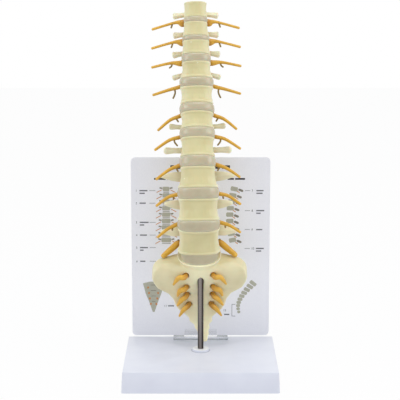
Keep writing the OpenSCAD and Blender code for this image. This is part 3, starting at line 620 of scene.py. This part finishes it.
def disc_rings(level):
    low_front = UP_FRONTS[level - 1] if level else PROMONTORY
    low_tilt = UP_TILTS[level - 1] if level else SACRAL_TILT
    bulge = 1 + 2 * BULGES[level] * DISC_BULGE / PLATE_WIDTHS[level]
    end = min(DISC_END, bulge)
    rings = []
    for step in range(DISC_STEPS + 1):
        share = step / DISC_STEPS
        away = abs(2 * share - 1)
        front = low_front.lerp(LOW_FRONTS[level], share)
        tilt = between(low_tilt, LOW_TILTS[level], share)
        rings.append(plate_ring(front, tilt, PLATE_WIDTHS[level], between(bulge, end, away ** 3),
                                share * RIM_SAG if level == 0 else 0, RIM_SHAPE))
    return rings


for level, name in enumerate(LEVELS):
    node = "disc_" + name + "_" + (LEVELS[level - 1] if level else "s1")
    piece = skinned_piece(node + "_shown", [(disc_rings(level), 0)], [DISC])
    shown_for(piece, node)
print("last disc", len(piece.data.polygons), "faces")

# %% [markdown]
# A nerve is a row of circles on a smooth curve. A curve through a few points is the quickest to
# draw, and the circles grow and shrink along it. The tip is closed by three smaller circles, so
# that it is round. A Blender curve with a bevel could do this too, but its thickness can't change
# as freely.

# %% Curves and tubes
TIP_TURNS = (30, 60, 80)
TIP_LENGTH = 0.8
CURVE_STEPS = 6


def curve_point(points, index, share):
    last = len(points) - 1
    a, b = points[max(index - 1, 0)], points[index]
    c, d = points[min(index + 1, last)], points[min(index + 2, last)]
    return 0.5 * (2 * b + (c - a) * share + (2 * a - 5 * b + 4 * c - d) * share ** 2
                  + (3 * b - a - 3 * c + d) * share ** 3)


def smooth_curve(points, steps=CURVE_STEPS):
    curve = []
    for index in range(len(points) - 1):
        curve += [curve_point(points, index, step / steps) for step in range(steps)]
    return curve + [points[-1]]


def tube_rings(points, radii, count):
    path, sizes = list(points), list(radii)
    ahead = (path[-1] - path[-2]).normalized()
    for turn in TIP_TURNS:
        path.append(points[-1] + ahead * radii[-1] * TIP_LENGTH * math.sin(math.radians(turn)))
        sizes.append(radii[-1] * math.cos(math.radians(turn)))
    rings = []
    for index, point in enumerate(path):
        along = (path[min(index + 1, len(path) - 1)] - path[max(index - 1, 0)]).normalized()
        side = along.cross(Vector((0, 1, 0.2))).normalized()
        other = along.cross(side)
        ring = []
        for k in range(count):
            c, s = (f(2 * math.pi * k / count) for f in (math.cos, math.sin))
            ring.append(point + sizes[index] * (c * side + s * other))
        rings.append(ring)
    return rings


def mirrored(rings, side):
    return rings if side > 0 else [[Vector((-p.x, p.y, p.z)) for p in ring] for ring in rings]


print("circles at a tip:", len(TIP_TURNS))

# %% [markdown]
# The nerves are thick where they leave the canal, and each has a thin side branch that is grey-
# brown. Each row of the first table gives three points of the free length, from the back of the
# body's lower edge, and how far the left and the right differ. The second table gives the swelling
# along it, and the third the branch: where it starts, and its steps.

# %% Nerves
NERVE_SIZE = 3
CANAL_DEPTH = 13
CORD_WIDTH = 9
ROOT_GAP = 0.8
NERVES = (((22.5, -2), (30, -7.6), (39.3, -14), 0), ((23.2, -5.2), (33.7, -9), (44.5, -16.2), 2),
          ((21.2, -6.4), (32.5, -9), (45.2, -17.3), 0.2),
          ((18.8, -6.1), (31, -10.4), (44.9, -19.6), 0.5),
          ((19.1, -4.8), (30.4, -7.5), (46, -17.2), 0), ((18.6, -8.5), (29.5, -12.5), (42.5, -22.7), 0),
          ((18.3, -6.6), (30.6, -9.6), (47.3, -14.3), 0), ((16, -6.3), (27.8, -5.6), (48.1, -9.5), 0),
          ((14.7, -3.8), (24, -3.1), (47.8, -9), 0), ((14.2, -3.2), (22, -2.2), (46.9, -8.8), 0))
SWELLS = ((1.1, 1.3, 2.3, 2.3, 1.8),) + ((0.9, 1.15, 1.5, 1.2, 0.95),) * 6 + (
    (0.9, 1.2, 2.2, 1.15, 0.95), (0.9, 1.3, 2.8, 1.15, 0.95), (0.9, 1.3, 2.8, 1.15, 0.95))
BRANCH_SIZE = 1.9
TUBE_POINTS = 16
TWIG_POINTS = 10
TWIG_STEPS = 4
BRANCHES = ((0.1, ((-0.6, 4.4),)), (0.5, ((0.4, -3.8),)), (0.45, ((0.8, -4),)),
            (0.4, ((-1.2, -3.2), (-2.2, -4.8))), (0.5, ((0.2, -3.6), (-2.8, -7.6))),
            (0.45, ((-2.8, -4.2),)),
            (0.5, ((-0.9, -4.2), (0.2, -8), (1.5, -10.6))), (0.85, ((1.2, -3.4), (3.2, -5))),
            (1.12, ((0.8, -3), (1.8, -5.6))), (1.4, ((0.6, -3), (1.6, -5.8))))


def nerve_points(level, side):
    row, swell = NERVES[level], SWELLS[level]
    fall = row[0][1]
    backs = (1, -1.5, -8 if level == 0 else -6)
    points = [Vector((CORD_WIDTH / 2 + ROOT_GAP, CANAL_DEPTH / 2, 0.25 * fall + 2.5)),
              Vector((0.55 * row[0][0], 4.8 - 0.6 * swell[2], 0.5 * fall + 1))]
    for k in range(3):
        points.append(Vector((row[k][0], backs[k], row[k][1] + side * row[3] * (k + 1) / 3)))
    return [low_back(level) + point for point in points]


def nerve(level, side):
    points = nerve_points(level, side)
    radii = [share * NERVE_SIZE / 2 for share in smooth_curve(SWELLS[level])]
    share, steps = BRANCHES[level]
    start = points[2] + share * (points[3] - points[2])
    twig = [start] + [start + Vector((x, -0.15 * math.hypot(x, z), z)) for x, z in steps]
    twig = smooth_curve(twig, TWIG_STEPS)
    twig_radii = [BRANCH_SIZE / 2] * len(twig)
    return [(mirrored(tube_rings(smooth_curve(points), radii, TUBE_POINTS), side), 0),
            (mirrored(tube_rings(twig, twig_radii, TWIG_POINTS), side), 1)]


SIDES = (("left", -1), ("right", 1))
for level, name in enumerate(LEVELS):
    for side_name, side in SIDES:
        node = "nerve_" + name + "_" + side_name
        piece = skinned_piece(node + "_shown", nerve(level, side), [NERVE, TWIG])
        shown_for(piece, node)
print("last nerve", len(piece.data.polygons), "faces")

# %% [markdown]
# The sacral nerves come out of the front openings of the sacrum, bend over their edge, and lie down
# the front. They are thickest at the bend and taper to a blunt tip. Each opening's place on the
# front is found by walking down the sacrum's front line, whose tilt changes from row to row. The
# cord behind the bodies is grown from its solid.

# %% Sacral nerves and cord
FRONT_LINE = ((6, -24), (7.5, -25), (9.5, -26), (13, -28), (17.5, -30), (22.5, -30), (28, -29),
              (35, -26), (39, -24), (42.5, -22), (49.5, -18), (55.5, -13))
OPENINGS = ((15, 15.5), (31.5, 15), (42, 14.5), (54.5, 12.5))
SACRAL_SIZE = 5
SACRAL_NERVES = (((-1.2, -4.5, 0), (1, 2.4, 1), (7, 2.8, 0.8), (13, 2.8, -9)),
                 ((-1, -4.5, 0.3), (0.8, 2.6, 0.5), (6.5, 3.2, -1.5), (9.5, 3.4, -9)),
                 ((-1, -4, 0.3), (0.5, 2.8, 0.2), (5.5, 3.4, -4), (10.5, 3.2, -12)),
                 ((-1, -4, 0.3), (0.3, 2.8, 0.2), (5, 3.2, -4), (10.5, 2.8, -12.8)))
SACRAL_SWELL = (0.85, 1.12, 1.08, 0.45)


def opening(down):
    place = PROMONTORY - FRONT_LINE[0][0] * up_of(SACRAL_TILT)
    for (start, low), (stop, high) in zip(FRONT_LINE, FRONT_LINE[1:]):
        middle = (low + high) / 2
        if down <= stop:
            tilt = between(low, high, (down - start) / (stop - start))
            return place - (down - start) * up_of(middle), tilt
        place = place - (stop - start) * up_of(middle)
    return place, high


def sacral_nerve(number, side):
    down, across = OPENINGS[number]
    place, tilt = opening(down)
    points = [place + Vector((across + x, 0, 0)) - front * back_of(tilt) + up * up_of(tilt)
              for x, front, up in SACRAL_NERVES[number]]
    radii = [share * SACRAL_SIZE / 2 for share in smooth_curve(SACRAL_SWELL)]
    return [(mirrored(tube_rings(smooth_curve(points), radii, TUBE_POINTS), side), 0)]


for number in range(len(OPENINGS)):
    for side_name, side in SIDES:
        node = "sacral_nerve_s" + str(number + 1) + "_" + side_name
        piece = skinned_piece(node + "_shown", sacral_nerve(number, side), [SACRAL_NERVE])
        shown_for(piece, node)
cord = grow(merged_copy("spinal_cord", CORD), [], 0.7 * mm, 8)
shown_for(cord, "spinal_cord")
print("cord", len(cord.data.polygons), "faces")

# %% [markdown]
# The stand is machine made, so its solids are already right and only take a finish. The rod is cold
# drawn steel. Its colour has long dark and bright bands, painted reflections, from a noise that is
# squeezed across the rod and stretched along it; a finer noise of the same kind gives the die's fine
# lines in its roughness and bump.

# %% Steel
REFLECTION_BAND_SCALES = (620, 620, 3)
LINE_SCALES = (5200, 5200, 18)


def finish_node(node, finish):
    piece = NODES[node]
    piece.data.materials.clear()
    piece.data.materials.append(finish)
    return piece


STEEL, steel_surface = material("drawn_steel", colour(126, 120, 117), 0.24, Metallic=1.0)
steel_tree = STEEL.node_tree
steel_reflection_noise = noise(steel_tree, stretched(steel_tree, *REFLECTION_BAND_SCALES), 1, 1)
steel_fine = noise(steel_tree, stretched(steel_tree, *LINE_SCALES), 1, 2)
# Painted reflections: long dark and bright bands in the steel's colour.
painted_reflection_band = ranged(steel_tree, steel_reflection_noise, 0.42, 0.58)
painted_reflection_colour = blend(steel_tree, painted_reflection_band, colour(50, 44, 42), colour(138, 131, 127))
steel_rough = ranged(steel_tree, steel_fine, 0.3, 0.7, 0.14, 0.34)
steel_tree.links.new(painted_reflection_colour, steel_surface.inputs["Base Color"])
steel_tree.links.new(steel_rough, steel_surface.inputs["Roughness"])
bumped(steel_tree, steel_surface, steel_fine, 0.02 * mm, 0.3)
for node in ("rod", "rod_screw", "rod_washer"):
    finish_node(node, STEEL)
print("steel on:", [name for name in sorted(NODES) if name.startswith("rod")])

# %% [markdown]
# The base is glossy injection-moulded plastic, white with a touch of blue. Moulded plastic has a
# faint ripple from the flow, which breaks up what it reflects, and rubbed patches that shine less.
# The corner round the boss has a ring of painted shade, and the boss's top a painted highlight.

# %% White plastic
ROD_BACK = 13 * mm
BOSS_EDGE = 9.25 * mm
DECK = 22 * mm
EDGE_ROUND = 0.5 * mm
WHITE, white_surface = material("gloss_white", colour(232, 235, 246), 0.32, Coat_Weight=0.12,
                                Coat_Roughness=0.15)
white_tree = WHITE.node_tree
white_rub = noise(white_tree, stretched(white_tree, 1, 1, 1), 45, 4)
white_peel = noise(white_tree, stretched(white_tree, 1, 1, 1), 420, 2)
white_share = ranged(white_tree, white_rub, 0.4, 0.7)
white_tone = blend(white_tree, white_share, colour(228, 231, 241), colour(224, 227, 238))
white_rough = ranged(white_tree, white_rub, 0.35, 0.7, 0.29, 0.34)
white_tree.links.new(white_rough, white_surface.inputs["Roughness"])
bumped(white_tree, white_surface, white_peel, 0.02 * mm, 0.15)
print("white plastic:", WHITE.name)

# %% [markdown]
# The painted shade round the boss and the painted highlight on its top are found by their distance
# from the rod, and by their height above the deck. The base is a merged copy of its solid with its
# edges rounded by a bevel, as every moulding's are.

# %% Painted shade and highlight on the boss, and the base's edges
place = place_parts(white_tree)
back = calculate(white_tree, "SUBTRACT", place["Y"], ROD_BACK)
across = calculate(white_tree, "MULTIPLY", place["X"], place["X"])
from_rod = calculate(white_tree, "SQRT", calculate(white_tree, "MULTIPLY_ADD", back, back, across))
from_ring = calculate(white_tree, "SUBTRACT", from_rod, BOSS_EDGE + 0.5 * mm)
near_ring = ranged(white_tree, calculate(white_tree, "ABSOLUTE", from_ring), 1.1 * mm, 0.3 * mm)
on_deck = calculate(white_tree, "LESS_THAN", place["Z"], DECK + 0.3 * mm)
# Painted shade: a darker ring in the corner round the boss.
painted_boss_shade = calculate(white_tree, "MULTIPLY", near_ring, on_deck)
on_boss = calculate(white_tree, "GREATER_THAN", place["Z"], DECK + 1.5 * mm)
inside = ranged(white_tree, from_rod, BOSS_EDGE, BOSS_EDGE - 1 * mm)
# Painted highlight: a paler top on the boss.
painted_boss_highlight = calculate(white_tree, "MULTIPLY", inside, on_boss)
white_tone = blend(white_tree, painted_boss_shade, white_tone, colour(186, 189, 200))
white_tone = blend(white_tree, painted_boss_highlight, white_tone, colour(252, 253, 255))
white_tree.links.new(white_tone, white_surface.inputs["Base Color"])
base = merged_copy("base", WHITE)
apply_modifier(base, "BEVEL", width=EDGE_ROUND, segments=3, limit_method="ANGLE",
               angle_limit=math.radians(40))
select_only(base)
bpy.ops.object.shade_smooth_by_angle(angle=math.radians(35))
shown_for(base, "base")
print("base", len(base.data.polygons), "faces")

# %% [markdown]
# The card is satin coated board. Its fibres show as a very fine, slightly long grain, and the coat
# gives a soft sheen.

# %% Card stock
CARD, card_surface = material("card_stock", colour(243, 244, 249), 0.42)
card_tree = CARD.node_tree
card_fibre = noise(card_tree, stretched(card_tree, 1400, 1400, 700), 1, 3)
card_share = ranged(card_tree, card_fibre, 0.35, 0.65)
card_tone = blend(card_tree, card_share, colour(245, 246, 252), colour(241, 242, 249))
card_tree.links.new(card_tone, card_surface.inputs["Base Color"])
bumped(card_tree, card_surface, card_fibre, 0.02 * mm, 0.3)
finish_node("info_card", CARD)
print("card:", [round(side * 1000) for side in NODES["info_card"].dimensions], "mm")

# %% [markdown]
# The card is a printed key to the model, so it needs a few inks. Ink on coated board isn't quite
# even: it is laid down in fine dots, which a small noise between a tone and a paler one gives.

# %% Inks
INK_DOTS = 2400


def ink(name, tone, pale):
    made, surface = material(name, tone, 0.5)
    tree = made.node_tree
    grain = noise(tree, stretched(tree, 1, 1, 1), INK_DOTS, 2)
    printed = blend(tree, ranged(tree, grain, 0.4, 0.7, 0, 0.5), tone, pale)
    tree.links.new(printed, surface.inputs["Base Color"])
    bumped(tree, surface, grain, 0.01 * mm, 0.2)
    return made


INKS = {"black": ink("ink_black", colour(34, 34, 38), colour(66, 66, 72)),
        "grey": ink("ink_grey", colour(98, 99, 106), colour(140, 141, 148)),
        "bone": ink("ink_bone", colour(172, 172, 156), colour(208, 207, 192)),
        "shade": ink("ink_shade", colour(128, 124, 112), colour(168, 164, 150)),
        "nerve": ink("ink_nerve", colour(196, 128, 62), colour(222, 172, 112))}
print("inks:", list(INKS))

# %% [markdown]
# The print is a thin film that lies on the board, so each ink is a piece of its own: a flat outline
# for every shape, all joined at the end, and given the film's thickness. An outline starts as a
# circle of as many points as it has corners. The drawing is a plain one: rows of small blocks for
# the column from the front and from the side, short slanting lines for the nerves, a shield for the
# sacrum, and plain numbers with grey bars for the key.

# %% Shapes for the print
prints = {name: [] for name in INKS}


def outlined(tone, corners):
    bpy.ops.object.select_all(action="DESELECT")
    bpy.ops.mesh.primitive_circle_add(vertices=len(corners), fill_type="NGON")
    shape = bpy.context.active_object
    for corner, (x, z) in zip(shape.data.vertices, corners):
        corner.co = (x * mm, 0, z * mm)
    prints[tone].append(shape)


def turned(x, z, offsets, turn):
    c, s = math.cos(math.radians(turn)), math.sin(math.radians(turn))
    return [(x + a * c - b * s, z + a * s + b * c) for a, b in offsets]


def bar(tone, x, z, width, height, turn=0):
    w, h = width / 2, height / 2
    outlined(tone, turned(x, z, [(-w, -h), (w, -h), (w, h), (-w, h)], turn))


def block(tone, x, z, width, height, turn=0, cut=0.9):
    w, h = width / 2, height / 2
    outlined(tone, turned(x, z, [(cut - w, -h), (w - cut, -h), (w, cut - h), (w, h - cut), (w - cut, h),
                                 (cut - w, h), (-w, h - cut), (-w, cut - h)], turn))


def number(value, x, z, size=3.4):
    bpy.ops.object.select_all(action="DESELECT")
    bpy.ops.object.text_add(rotation=(math.radians(90), 0, 0))
    words = bpy.context.active_object
    words.data.body = str(value)
    words.data.size = size * mm
    bpy.ops.object.convert(target="MESH")
    bpy.ops.object.transform_apply(location=True, rotation=True, scale=True)
    for corner in words.data.vertices:
        corner.co += Vector((x * mm, 0, z * mm))
    prints["black"].append(words)


print("shapes so far:", sum(len(shapes) for shapes in prints.values()))

# %% [markdown]
# The drawings keep clear of the middle, which the column hides. The front view stands on the left
# and the side view on the right, both down the upper half. The sacrum and the coccyx are below
# them.

# %% Drawings on the card
HEADING = ((-27, 14), (-14, 8), (1, 18), (17, 10), (28.5, 9))
SUBHEADINGS = ((-46, 13), (-34, 8), (34, 7), (44.5, 11))
FRONT_VIEW = -39
SIDE_VIEW = 38
TOP_ROW = 188
ROW_STEP = 7.4
ROWS = 9
for x, width in HEADING:
    bar("black", x, 213, width, 4)
for x, width in SUBHEADINGS:
    bar("black", x, 199.5, width, 2)
for row in range(ROWS):
    z = TOP_ROW - ROW_STEP * row
    width = 7.6 + 0.45 * row
    block("bone", FRONT_VIEW, z, width, 5)
    bar("shade", FRONT_VIEW, z - 3.7, width - 1.2, 0.8)
    for side in (-1, 1):
        bar("shade", FRONT_VIEW + side * (width / 2 + 1.9), z + 1, 3.2, 1.6, 12 * side)
        bar("nerve", FRONT_VIEW + side * (width / 2 + 4), z - 2.6, 6.5, 0.8, -28 * side)
    bend = 5 * math.sin(row / 8 * 2.8)
    block("bone", SIDE_VIEW - bend, z, 8.2, 5, 3 * row - 12)
    block("shade", SIDE_VIEW - bend + 7.4, z - 1.6, 6, 2.6, -22)
    bar("nerve", SIDE_VIEW - bend + 4.6, z - 3.4, 3.4, 0.9, -34)
print("rows of the column:", ROWS)

# %% [markdown]
# The sacrum is a shield with four rows of dots and lines, and the coccyx beside it is ten blocks on
# a bent line that get smaller and turn as they go down, with a bracket round the last of them.

# %% Sacrum and coccyx on the card
SHIELD = ((-66, 78), (-58, 80), (-50, 80), (-42, 78), (-45, 66), (-49, 56), (-53, 44), (-55, 44),
          (-59, 56), (-63, 66))
SHIELD_MIDDLE = -54
TAIL_BLOCKS = 10
outlined("bone", SHIELD)
for row in range(4):
    for side in (-1, 1):
        block("nerve", SHIELD_MIDDLE + side * (6.2 - row), 73 - 6.5 * row, 2, 2.6, 20 * side, 0.5)
    bar("shade", SHIELD_MIDDLE, 76 - 6.5 * row, 7 - row, 0.8)
for step in range(TAIL_BLOCKS):
    share = step / (TAIL_BLOCKS - 1)
    block("bone", 60 - 17 * math.sin(1.9 * share), 78 - 34 * share, 8.4 - 5 * share, 4.2 - share,
          -38 + 60 * share, 0.8)
for x, z, width, height in ((36, 46, 0.5, 14.5), (38, 53, 4, 0.5), (38, 39, 4, 0.5)):
    bar("grey", x, z, width, height)
print("blocks of the coccyx:", TAIL_BLOCKS)

# %% [markdown]
# The key is a column of plain numbers at each side, each with one or two short grey bars, and a
# hair line towards its part of the drawing.

# %% Numbers and key
LEFT_KEY = ((1, 186, (9, 6)), (2, 171.6, (7,)), (3, 149.4, (10, 5)), (4, 134.6, (8,)),
            (5, 120, (9, 4)), (6, 104, (6,)))
RIGHT_KEY = ((7, 186, (8, 7)), (8, 163, (9, 5)), (9, 141, (7,)), (10, 119, (9, 6)))
KEY_BAR = 1.4
HAIR_LINE = 0.45


def key_column(rows, number_x, bar_x, line_x, line_width):
    for value, z, widths in rows:
        number(value, number_x, z - 1.2)
        for row, width in enumerate(widths):
            bar("grey", bar_x + width / 2, z - 3 * row, width, KEY_BAR)
        bar("grey", line_x, z, line_width, HAIR_LINE)


key_column(LEFT_KEY, -73.5, -69, -54.5, 7)
key_column(RIGHT_KEY, 57.6, 63, 53, 6)
number(11, -42, 50)
bar("grey", -34, 51.2, 7, KEY_BAR)
number(12, 26, 44.8)
bar("grey", 30, 41, 6, KEY_BAR)
print("inks and shapes:", {name: len(shapes) for name, shapes in prints.items()})

# %% [markdown]
# Each ink's shapes are joined to one mesh and thickened. The inks lie at slightly different depths,
# so that two of them never share a face where they cross.

# %% Films of ink
CARD_FRONT = 86
INK_FILM = 0.07
FIRST_LAYER = 0.015
LAYER_STEP = 0.006
for layer, (name, shapes) in enumerate(prints.items()):
    select_only(*shapes)
    bpy.ops.object.join()
    film = bpy.context.active_object
    film.name = "print_" + name
    film.data.materials.clear()
    film.data.materials.append(INKS[name])
    for corner in film.data.vertices:
        corner.co.y = (CARD_FRONT - FIRST_LAYER - LAYER_STEP * layer) * mm
    apply_modifier(film, "SOLIDIFY", thickness=INK_FILM * mm, offset=0)
    bpy.ops.object.mode_set(mode="EDIT")
    bpy.ops.mesh.select_all(action="SELECT")
    bpy.ops.mesh.normals_make_consistent(inside=False)
    bpy.ops.object.mode_set(mode="OBJECT")
    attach(film, "root")
    print(film.name, len(film.data.polygons), "faces")

# %% [markdown]
# Clear sheet plastic is nearly invisible on its broad faces and grey-green on its cut edges,
# because the light that enters a face leaves by the edges. The foot lies flat and the wall stands
# upright, so the cut edges face forwards on the one and upwards on the other.

# %% Clear plastic
WALL_START = 66 * mm
RIM_START = 40 * mm
CLEAR, clear_surface = material("clear_plastic", colour(222, 228, 230), 0.07, IOR=1.46)
clear_tree = CLEAR.node_tree
clear_shape = clear_tree.nodes.new("ShaderNodeNewGeometry")
clear_facing = clear_tree.nodes.new("ShaderNodeSeparateXYZ")
clear_tree.links.new(clear_shape.outputs["Normal"], clear_facing.inputs[0])
clear_place = place_parts(clear_tree)
faces = {axis: calculate(clear_tree, "ABSOLUTE", clear_facing.outputs[axis]) for axis in "XYZ"}
on_foot = calculate(clear_tree, "LESS_THAN", clear_place["Y"], WALL_START)
edge_foot = calculate(clear_tree, "MULTIPLY", faces["Y"], on_foot)
on_rim = calculate(clear_tree, "GREATER_THAN", clear_place["Z"], RIM_START)
edge_wall = calculate(clear_tree, "MULTIPLY", faces["Z"], on_rim)
cut_edge = calculate(clear_tree, "MAXIMUM", edge_foot, edge_wall)
cut_edge = ranged(clear_tree, calculate(clear_tree, "MAXIMUM", faces["X"], cut_edge), 0.4, 0.8)
edge_share = ranged(clear_tree, on_foot, 0, 1, 0.3, 1)
cut_edge = calculate(clear_tree, "MULTIPLY", cut_edge, edge_share)
clear_tone = blend(clear_tree, cut_edge, colour(228, 232, 235), colour(160, 167, 169))
clear_alpha = ranged(clear_tree, cut_edge, 0, 1, 0.05, 0.7)
clear_tree.links.new(clear_tone, clear_surface.inputs["Base Color"])
clear_tree.links.new(clear_alpha, clear_surface.inputs["Alpha"])
finish_node("card_holder", CLEAR)
print("clear plastic on:", NODES["card_holder"].name)

# %% [markdown]
# The floor is a plain white sheet. The camera sees it as white wherever it is lit, and the shadow
# under the base still shows, because only part of what the camera sees is glow. From below it is
# open.

# %% Floor
FLOOR_SIZE = 6
FLOOR_GLOW = 0.96
WHITE_STRENGTH = 1


def white_floor():
    bpy.ops.object.select_all(action="DESELECT")
    bpy.ops.mesh.primitive_plane_add(size=FLOOR_SIZE, location=(0, 0, 0))
    floor = bpy.context.active_object
    floor.name = "floor"
    made, surface = material("white_floor", colour(232, 232, 235), 0.6)
    tree = made.node_tree
    glow = tree.nodes.new("ShaderNodeEmission")
    glow.inputs["Strength"].default_value = WHITE_STRENGTH
    seen = tree.nodes.new("ShaderNodeMixShader")
    shown = calculate(tree, "MULTIPLY", direct_view(tree.nodes, tree.links), FLOOR_GLOW)
    tree.links.new(shown, seen.inputs["Fac"])
    tree.links.new(surface.outputs[0], seen.inputs[1])
    tree.links.new(glow.outputs[0], seen.inputs[2])
    from_below = tree.nodes.new("ShaderNodeNewGeometry")
    clear_below = tree.nodes.new("ShaderNodeBsdfTransparent")
    either = tree.nodes.new("ShaderNodeMixShader")
    tree.links.new(from_below.outputs["Backfacing"], either.inputs["Fac"])
    tree.links.new(seen.outputs[0], either.inputs[1])
    tree.links.new(clear_below.outputs[0], either.inputs[2])
    tree.links.new(either.outputs[0], tree.nodes["Material Output"].inputs["Surface"])
    floor.data.materials.append(made)
    return floor


white_floor()
print("floor:", FLOOR_SIZE, "m wide")
